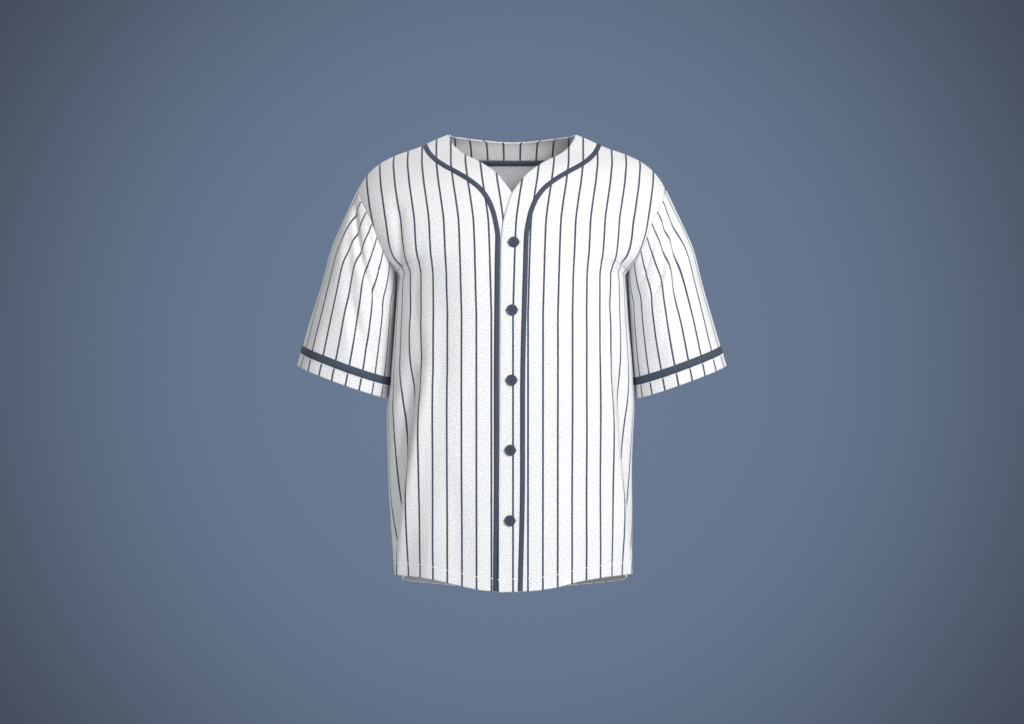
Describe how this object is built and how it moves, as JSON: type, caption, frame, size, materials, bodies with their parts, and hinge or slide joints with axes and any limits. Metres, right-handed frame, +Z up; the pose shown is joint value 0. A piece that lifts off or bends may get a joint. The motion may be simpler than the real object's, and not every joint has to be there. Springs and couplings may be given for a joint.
{
  "type": "baseball jersey",
  "caption": "Short-sleeved button-front jersey in its worn, hollow shape, with V neckline, set-in sleeves, tape piping and curved hem.",
  "frame": {"origin": "where the wearer's shoulders hold it: midway between the two points where the shoulder seams meet the neck", "axes": "+Z up, -Y out of the chest, +X towards the wearer's left"},
  "size_m": [0.714, 0.2705, 0.77],
  "materials": {
    "pinstripe_cloth": "double-knit polyester, matt, white with navy pinstripes",
    "navy_tape": "woven tape, matt navy",
    "navy_resin": "moulded resin, satin navy"
  },
  "bodies": {
    "root": {"front_left": "pinstripe_cloth", "front_right": "pinstripe_cloth", "back": "pinstripe_cloth", "sleeve_left": "pinstripe_cloth", "sleeve_right": "pinstripe_cloth", "back_neck_facing": "pinstripe_cloth", "back_neck_tape": "navy_tape", "piping_left": "navy_tape", "piping_right": "navy_tape", "piping_back": "navy_tape", "sleeve_band_left": "navy_tape", "sleeve_band_right": "navy_tape", "button_1": "navy_resin", "button_2": "navy_resin", "button_3": "navy_resin", "button_4": "navy_resin", "button_5": "navy_resin"}
  },
  "joints": []
}
